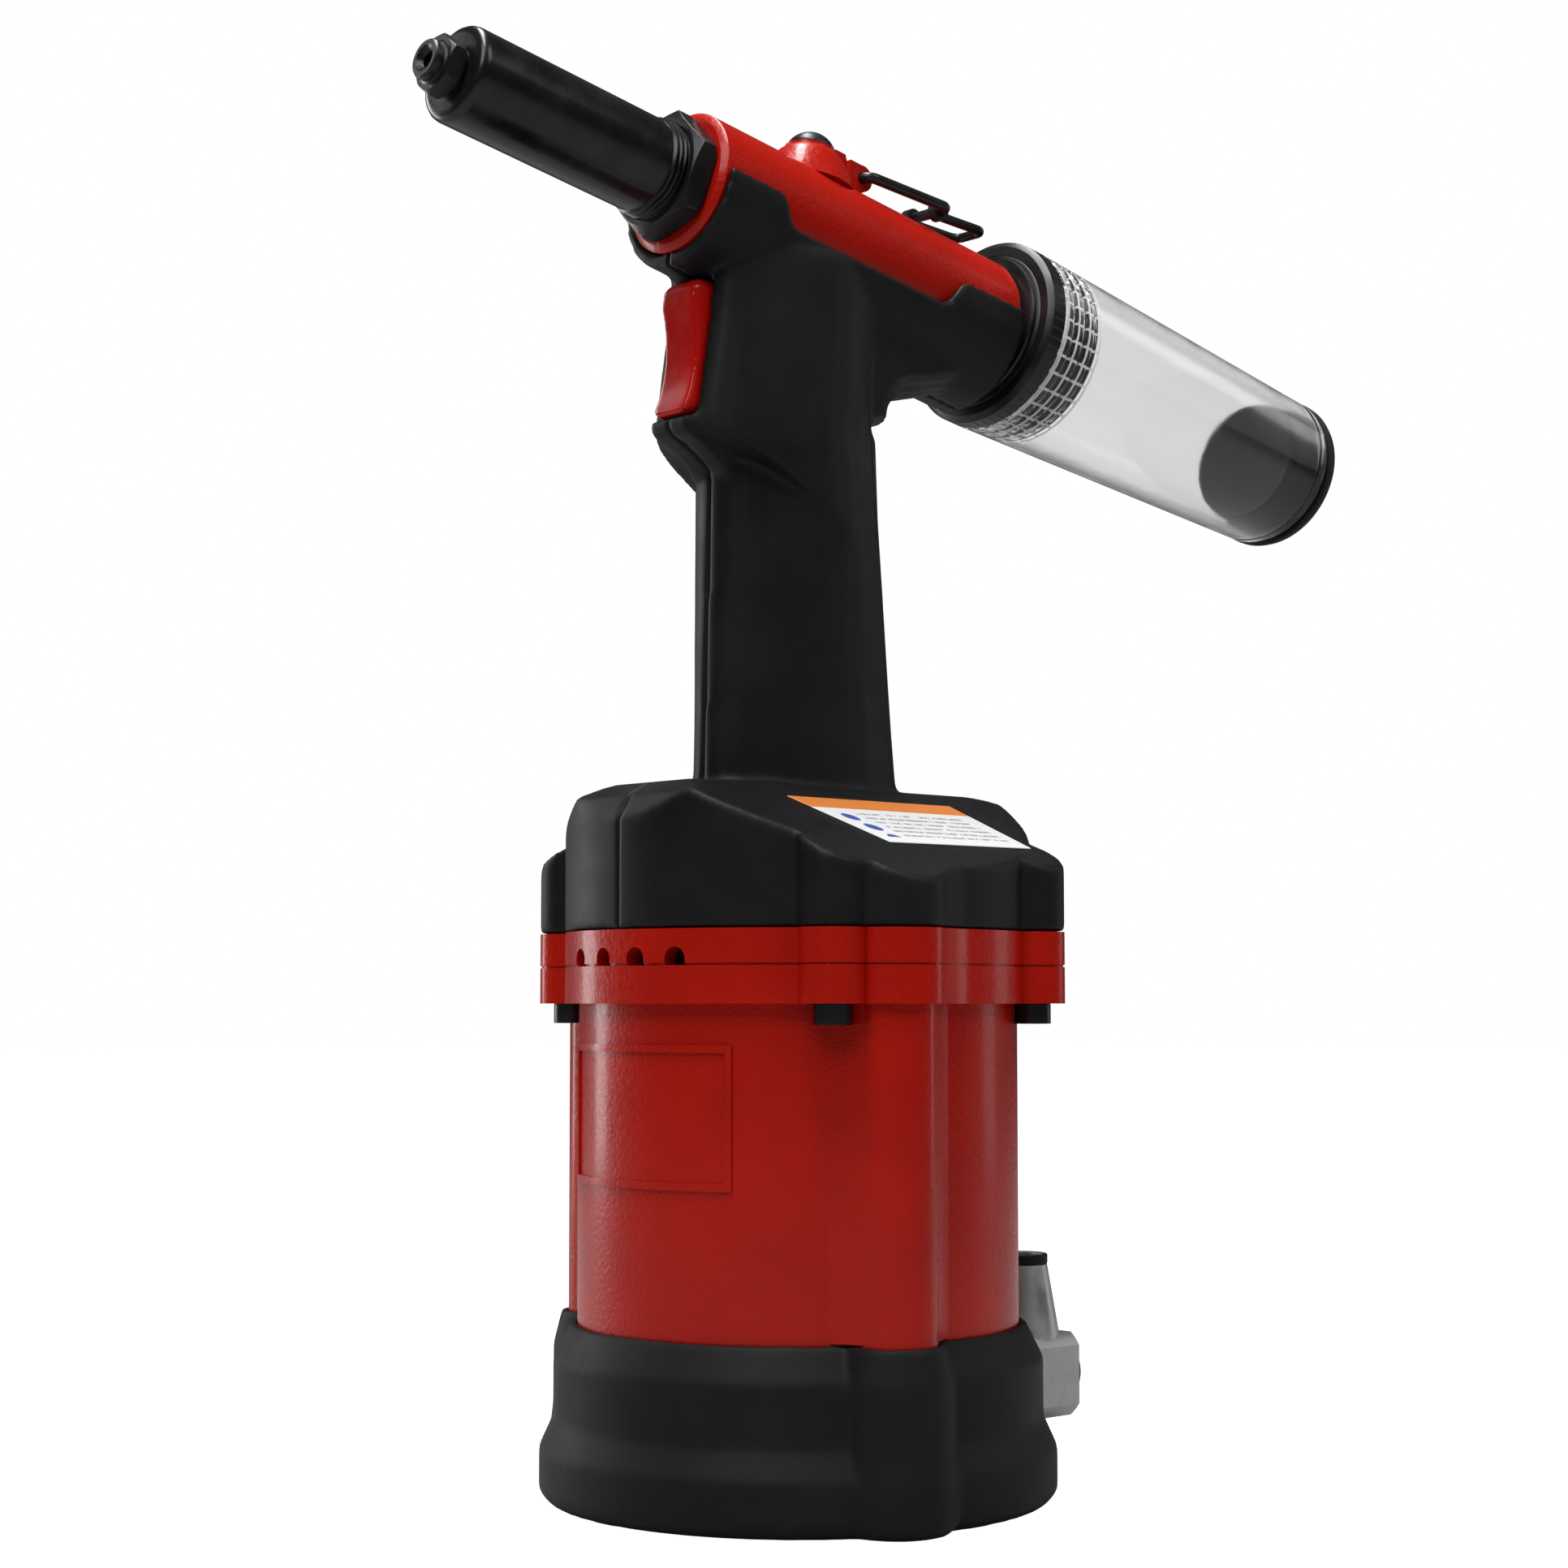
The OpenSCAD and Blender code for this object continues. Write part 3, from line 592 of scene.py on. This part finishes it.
@dataclass(frozen=True)
class ClearPlastic(Finish):
    """Clear moulded bottle plastic, slightly hazy, with frosted ribs inside its mouth."""

    name: str = "clear_plastic"
    rough: float = 0.06
    ribs: int = 30
    ring_pitch: float = 0.0043
    mouth: tuple = (0.0725, 0.0868)
    inside_r: float = 0.0229
    column_width: float = 0.16
    row_width: float = 0.18
    frosting: float = 0.8

    def build(self, tree: Tree, shader: Node) -> None:
        """Transmission with faint flow lines; the ribs scatter white."""
        flow = noise(tree, coords(tree), 70, 2)
        tree.links.new(spread(tree, flow, self.rough, self.rough + 0.06),
                       shader.inputs["Roughness"])
        up, side, along = split(tree, coords(tree, turn=BARREL.turn(), origin=BARREL.origin()))
        angle = calc(tree, "ARCTAN2", side, up)
        column = calc(tree, "FRACT", product(tree, angle, self.ribs / math.tau))
        row = calc(tree, "FRACT", calc(tree, "DIVIDE", along, self.ring_pitch))
        lines = calc(tree, "MAXIMUM", calc(tree, "LESS_THAN", column, self.column_width),
                     calc(tree, "LESS_THAN", row, self.row_width))
        radius = calc(tree, "SQRT", calc(tree, "ADD", product(tree, up, up),
                                         product(tree, side, side)))
        near = product(tree, between(tree, along, *self.mouth),
                       calc(tree, "LESS_THAN", radius, self.inside_r))
        tree.links.new(blend(tree, flow, (0.88, 0.885, 0.89), (0.93, 0.93, 0.935)),
                       shader.inputs["Base Color"])
        tree.links.new(calc(tree, "SUBTRACT", 1.0, product(tree, lines, near, self.frosting)),
                       shader.inputs["Transmission Weight"])
        shader.inputs["IOR"].default_value = 1.30
        bump(tree, shader, (flow, 0.00008))


@dataclass(frozen=True)
class PrintedLabel(Finish):
    """White film with an orange band, grey bars and blue dots; no lettering."""

    name: str = "printed_label"
    centre: tuple = (0.002, -0.032, 0.15725)
    slope_deg: float = 25.84
    size: tuple = (0.052, 0.0255)
    top: float = 0.011
    skew: float = 0.40
    band: float = 0.0062
    text_top: float = 0.0078
    text_left: float = 0.010
    line_pitch: float = 0.0024
    dot_pitch: float = 1 / 175
    dot_at: tuple = (0.0058, 0.0085)

    def build(self, tree: Tree, shader: Node) -> None:
        """Draws the print from the film's own plane coordinates."""
        at = coords(tree, turn=(math.radians(self.slope_deg), 0, 0), origin=self.centre)
        across, upward, _ = split(tree, at)
        y = calc(tree, "SUBTRACT", upward, self.top)
        x = calc(tree, "ADD", across, self.size[0] / 2)
        x = calc(tree, "ADD", x, product(tree, y, self.skew))
        row = calc(tree, "FRACT", product(tree, y, 1 / self.line_pitch))
        bar = calc(tree, "LESS_THAN", row, 0.38)
        word = calc(tree, "GREATER_THAN", noise(tree, coords(tree), 900, 1), 0.45)
        inside = between(tree, x, self.text_left, self.size[0] - 0.007)
        body = between(tree, y, -self.size[1] + 0.003, -self.text_top)
        text = product(tree, bar, word, inside, body)
        cell = calc(tree, "FRACT", product(tree, calc(tree, "ADD", y, self.dot_at[1]),
                                           1 / self.dot_pitch))
        cell = calc(tree, "SUBTRACT", cell, 0.5)
        off = product(tree, calc(tree, "SUBTRACT", x, self.dot_at[0]), 1 / self.dot_pitch)
        dist = calc(tree, "ADD", product(tree, cell, cell), product(tree, off, off))
        dot = product(tree, calc(tree, "LESS_THAN", dist, 0.12), body)
        film = blend(tree, calc(tree, "GREATER_THAN", y, -self.band), (0.86, 0.86, 0.85),
                     (0.80, 0.25, 0.05))
        printed = blend(tree, text, film, (0.35, 0.36, 0.40))
        tree.links.new(blend(tree, dot, printed, (0.05, 0.10, 0.45)), shader.inputs["Base Color"])
        shader.inputs["Roughness"].default_value = 0.35


RED = TexturedPaint()
BLACK = GripPlastic()
RUBBER = MouldedPlastic("black_rubber", (0.0070, 0.0070, 0.0074), (0.0110, 0.0110, 0.0115),
                        grain=1400, rough=0.60)
OXIDE = TurnedMetal(turn_deg=90 + BARREL.tilt_deg)
OXIDE_PLAIN = TurnedMetal("black_oxide_plain", rough=0.30, mark=1200)
STEEL = TurnedMetal("machined_steel", (0.45, 0.45, 0.46), (0.60, 0.60, 0.61), 0.25, 1.0)
BRASS = TurnedMetal("machined_brass", (0.55, 0.38, 0.13), (0.68, 0.50, 0.20), 0.28, 1.0)
SILVER = CastMetal()
TRIGGER_RED = GlossPlastic()
CLEAR = ClearPlastic()
LABEL = PrintedLabel()
FOAM = MouldedPlastic("black_foam", (0.01, 0.01, 0.01), (0.03, 0.03, 0.03), 700, 0.0003, 0.9)
KEPT: dict[str, Finish] = {
    "red_paint": RED, "cover_black": BLACK, "rubber": RUBBER, "black_oxide": OXIDE_PLAIN,
    "steel": STEEL, "brass": BRASS, "silver": SILVER, "clear_plastic": CLEAR,
    "trigger_red": TRIGGER_RED, "label": LABEL, "foam": FOAM,
}


# ---------------------------------------------------------------- sub-assemblies
@dataclass
class AirMotor:
    """Boot, cylinder, cap casting and their screws."""

    paint_round: float = 0.0009
    boot_voxel: float = 0.0009
    boot_rounds: int = 6

    def build(self) -> None:
        """Builds every piece of the air motor."""
        boot = from_node("base_boot", "boot", dissolve=False)
        soften(boot, self.boot_voxel, self.boot_rounds)
        place(boot, Body.FRAME, RUBBER, "rubber", "base_boot")
        cylinder = from_node("air_cylinder", "cylinder")
        round_edges(cylinder, self.paint_round, 2, 25)
        shade(cylinder)
        place(cylinder, Body.FRAME, RED, "red_paint", "air_cylinder")
        casting = from_node("frame_casting", "casting")
        round_edges(casting, self.paint_round, 2, 25)
        shade(casting)
        place(casting, Body.FRAME, RED, "red_paint", "frame_casting")
        screws = from_node("flange_screws", "screws")
        round_edges(screws, 0.0003, 2, 30)
        shade(screws)
        place(screws, Body.FRAME, OXIDE_PLAIN, "black_oxide", "flange_screws")


@dataclass
class Covers:
    """The two moulded halves round handle and barrel."""

    voxel: float = 0.0008
    rounds: int = 14
    seam: float = 0.0004

    def build(self) -> None:
        """Builds both halves and the label."""
        for side in ("left", "right"):
            half = from_node(f"{side}_cover", f"cover_{side}", dissolve=False)
            soften(half, self.voxel, self.rounds, self.seam)
            place(half, Body.FRAME, BLACK, "cover_black", f"{side}_cover")
        label = from_node("label_plate", "label")
        round_edges(label, 0.0001, 1, 30)
        place(label, Body.FRAME, LABEL, "label", "label_plate")


@dataclass
class Nose:
    """Sleeve, lock nut and nosepiece."""

    sleeve_r: float = 11.3
    crest_r: float = 11.8
    root_r: float = 11.1

    def sleeve(self) -> None:
        """The long polished sleeve with its exposed thread."""
        thread: Profile = []
        for k in range(4):
            z = -49.9 + 1.4 * k
            thread += [(self.root_r, z), (self.crest_r, z + 0.45), (self.crest_r, z + 0.75),
                       (self.root_r, z + 1.2)]
        profile: Profile = [(4.05, -105), (8.9, -105), (9.9, -104.8), (10.6, -104.35),
                            (11.1, -103.6), (self.sleeve_r, -102.6), (self.sleeve_r, -50.6),
                            (11.1, -50.4)]
        profile += thread + [(self.crest_r, -44), (self.crest_r, -28.1), (9.1, -28.1),
                             (9.1, -101.5), (4.05, -101.5)]
        piece = lathe("nose_sleeve_turned", profile, 128)
        onto_barrel(piece)
        shade(piece, 28)
        place(piece, Body.FRAME, OXIDE, "black_oxide", "nose_sleeve")

    def build(self) -> None:
        """Builds every piece of the nose."""
        self.sleeve()
        nut = from_node("sleeve_lock_nut", "lock_nut")
        round_edges(nut, 0.0004, 2, 25)
        shade(nut, 25)
        place(nut, Body.FRAME, OXIDE_PLAIN, "black_oxide", "sleeve_lock_nut")
        tip = from_node("nosepiece", "nose_tip")
        round_edges(tip, 0.00025, 2, 25)
        shade(tip, 25)
        place(tip, Body.FRAME, OXIDE_PLAIN, "black_oxide", "nosepiece")


@dataclass
class Collector:
    """Adapter, knurled ring, clear bottle and its end cap."""

    mouth_r: float = 24.4
    end_r: float = 21.2
    start: float = 71.2
    end: float = 186.5
    wall: float = 2.1
    ribs: int = 30
    rib_share: float = 0.985

    def bottle(self) -> None:
        """The clear bottle with a ribbed inside at the mouth."""
        slope = (self.end_r - self.mouth_r) / (self.end - self.start)

        def inner(z: float) -> float:
            """Returns: the inside radius at z."""
            return self.mouth_r + slope * (z - self.start) - self.wall

        rings: Profile = []
        for z in (84.5, 80.5, 76.5):
            rings += [(inner(z + 0.8), z + 0.8), (inner(z) - 0.7, z + 0.3),
                      (inner(z) - 0.7, z - 0.3), (inner(z - 0.8), z - 0.8)]
        profile: Profile = [(inner(self.start), self.start), (self.mouth_r - 0.4, self.start),
                            (self.mouth_r, self.start + 0.5), (self.end_r, self.end - 2),
                            (self.end_r - 0.7, self.end - 0.5), (self.end_r - 1.4, self.end),
                            (17.4, self.end), (17.4, self.end - 2.0), (18.6, self.end - 2.4),
                            (inner(self.end - 4), self.end - 4)]
        profile += [(inner(88.5), 88.5)] + rings
        bottle = lathe("bottle", profile, 120)
        low, high = (self.start + 1.5) * MM, (self.start + 14.5) * MM
        reach = (inner(self.start) + 0.4) * MM
        edit(bottle, select=False)
        bpy.ops.mesh.select_mode(type="VERT")
        leave()
        for v in bottle.data.vertices:
            turn = math.degrees(math.atan2(v.co.y, v.co.x)) % (360 / self.ribs)
            on_rib = min(turn, 360 / self.ribs - turn) < 1
            v.select = on_rib and low < v.co.z < high and math.hypot(v.co.x, v.co.y) < reach
        only(bottle)
        bpy.ops.object.mode_set(mode="EDIT")
        bpy.ops.transform.resize(value=(self.rib_share, self.rib_share, 1),
                                 center_override=(0, 0, 0))
        leave()
        onto_barrel(bottle)
        shade(bottle, 40)
        place(bottle, Body.BOTTLE, CLEAR, "clear_plastic", "collector_bottle")

    def build(self) -> None:
        """Builds every piece of the collector."""
        self.bottle()
        adapter = onto_barrel(lathe("adapter", [
            (9.95, 63.5), (18.6, 63.5), (19.3, 63.8), (19.5, 64.4), (19.3, 65.1), (20.0, 65.3),
            (20.4, 65.6), (20.4, 75), (21.2, 75.6), (21.2, 77), (20.4, 77.6), (20.4, 80),
            (21.2, 80.6), (21.2, 82), (20.4, 82.6), (20.4, 85.6), (20.0, 86), (17.2, 86),
            (17.2, 72.4), (9.95, 72.4)]))
        shade(adapter, 30)
        place(adapter, Body.FRAME, OXIDE_PLAIN, "cover_black", "collector_adapter")
        ring = from_node("knurled_ring", "ring_knurled")
        round_edges(ring, 0.0002, 1, 30)
        shade(ring, 30)
        place(ring, Body.RING, OXIDE_PLAIN, "black_oxide", "knurled_ring")
        cap = onto_barrel(lathe("end_cap", [
            (0.5, 174.6), (14.6, 174.6), (15.2, 174.2), (16.2, 174.2), (17.0, 174.8), (17.2, 175.6),
            (17.2, 186.6), (20.9, 186.6), (21.3, 187.1), (21.2, 188.2), (20.6, 189.6),
            (19.6, 190.5), (18.2, 191), (0.5, 191)], closed=False))
        shade(cap, 35)
        place(cap, Body.END_CAP, RUBBER, "rubber", "bottle_end_cap")


@dataclass
class SmallParts:
    """Fill screw, hanger, trigger and air inlet."""

    blade_voxel: float = 0.00035
    blade_rounds: int = 22
    edges: dict[str, tuple[str, Body, float]] = field(default_factory=lambda: {
        "fill_screw": ("fill_plug", Body.FRAME, 0.0003),
        "hanger_bail": ("bail", Body.BAIL, 0.0001),
        "hanger_link": ("link", Body.LINK, 0.0003),
        "inlet_swivel": ("swivel", Body.SWIVEL, 0.0006),
        "banjo_bolt": ("banjo", Body.FRAME, 0.0003),
        "inlet_ring": ("swivel_ring", Body.SWIVEL, 0.0004),
    })

    def build(self) -> None:
        """Rounds and dresses each small piece."""
        slots = {row["node"]: row["material_slot"] for row in frame["record"]["subparts"]}
        for node, (name, body, width) in self.edges.items():
            piece = from_node(node, name)
            round_edges(piece, width, 3, 30)
            shade(piece, 32)
            place(piece, body, KEPT[slots[node]], slots[node], node)
        blade = from_node("trigger", "trigger_blade", dissolve=False)
        soften(blade, self.blade_voxel, self.blade_rounds)
        place(blade, Body.TRIGGER, TRIGGER_RED, "trigger_red", "trigger")


def dress_kept() -> None:
    """Gives every CAD node that stays the finish of its slot."""
    slots = {row["node"]: row["material_slot"] for row in frame["record"]["subparts"]}
    for name, node in frame["nodes"].items():
        if node.hide_render:
            continue
        node.data.materials.clear()
        node.data.materials.append(KEPT[slots[name]].material())


# ---------------------------------------------------------------- light and camera
@dataclass
class Studio:
    """Floor, lights and camera."""

    sky: float = 0.06
    sky_through_plastic: float = 0.86
    middle: tuple = (0, 0, 0.18)
    view_from: tuple = (-0.4623, -0.4996, 0.1150)
    view_turn_deg: tuple = (94.407, 0, -42.5)
    lens_mm: float = 65.41

    def lamp(self, name: str, at: tuple, size: tuple, power: float) -> None:
        """Adds a soft rectangular lamp that faces the tool's middle.

        Args:
            name: the lamp's name.
            at: its place in metres.
            size: its width and height in metres.
            power: its power in watts.
        """
        data = bpy.data.lights.new(name, "AREA")
        data.shape = "RECTANGLE"
        data.size, data.size_y = size
        data.energy = power
        lamp = bpy.data.objects.new(name, data)
        bpy.context.scene.collection.objects.link(lamp)
        lamp.location = at
        aim = Vector(self.middle) - Vector(at)
        lamp.rotation_euler = aim.to_track_quat("-Z", "Y").to_euler()

    def build(self) -> None:
        """Sets the floor, the lamps, the sky and the camera."""
        bpy.ops.object.select_all(action="DESELECT")
        bpy.ops.mesh.primitive_plane_add(size=12, location=(0, 0, -0.0003))
        floor = bpy.context.object
        floor.name = "floor"
        mat = bpy.data.materials.new("pale_floor")
        mat.use_nodes = True
        shader = mat.node_tree.nodes["Principled BSDF"]
        shader.inputs["Base Color"].default_value = (0.40, 0.40, 0.40, 1)
        shader.inputs["Roughness"].default_value = 0.9
        shader.inputs["Emission Color"].default_value = (1, 1, 1, 1)
        look = mat.node_tree.nodes.new("ShaderNodeLightPath")
        mat.node_tree.links.new(look.outputs["Is Camera Ray"], shader.inputs["Emission Strength"])
        floor.data.materials.append(mat)
        world = bpy.data.worlds.new("pale_room")
        world.use_nodes = True
        tree = world.node_tree
        sky = tree.nodes["Background"]
        sky.inputs["Color"].default_value = (1, 1, 1, 1)
        rays = tree.nodes.new("ShaderNodeLightPath")
        seen = calc(tree, "MULTIPLY", rays.outputs["Is Camera Ray"], 1.0 - self.sky)
        through = calc(tree, "MULTIPLY", rays.outputs["Is Transmission Ray"],
                       self.sky_through_plastic - self.sky)
        tree.links.new(calc(tree, "ADD", calc(tree, "ADD", seen, through), self.sky),
                       sky.inputs["Strength"])
        bpy.context.scene.world = world
        bpy.context.scene.view_settings.view_transform = "Standard"
        self.lamp("key", (-1.25, -0.45, 1.55), (0.9, 0.9), 15)
        self.lamp("fill", (0.45, -1.25, 1.45), (0.9, 0.9), 9)
        self.lamp("top", (-0.1, 0.1, 1.7), (1.4, 0.3), 32)
        self.lamp("rim left", (-0.35, 1.3, 0.5), (0.3, 1.2), 8)
        self.lamp("rim right", (1.30, -0.40, 0.5), (0.3, 1.2), 1.5)
        cam = bpy.data.cameras.new("camera")
        cam.lens = self.lens_mm
        cam.sensor_width = 36
        cam.clip_start = 0.01
        camera = bpy.data.objects.new("camera", cam)
        bpy.context.scene.collection.objects.link(camera)
        camera.location = self.view_from
        camera.rotation_euler = [math.radians(a) for a in self.view_turn_deg]
        bpy.context.scene.camera = camera


def main() -> None:
    """Builds the sub-assemblies in order, then the studio."""
    logging.basicConfig(level=logging.INFO)
    for part in (AirMotor(), Covers(), Nose(), Collector(), SmallParts()):
        part.build()
        LOG.info("%s done", type(part).__name__)
    dress_kept()
    Studio().build()


if __name__ == "__main__":
    main()
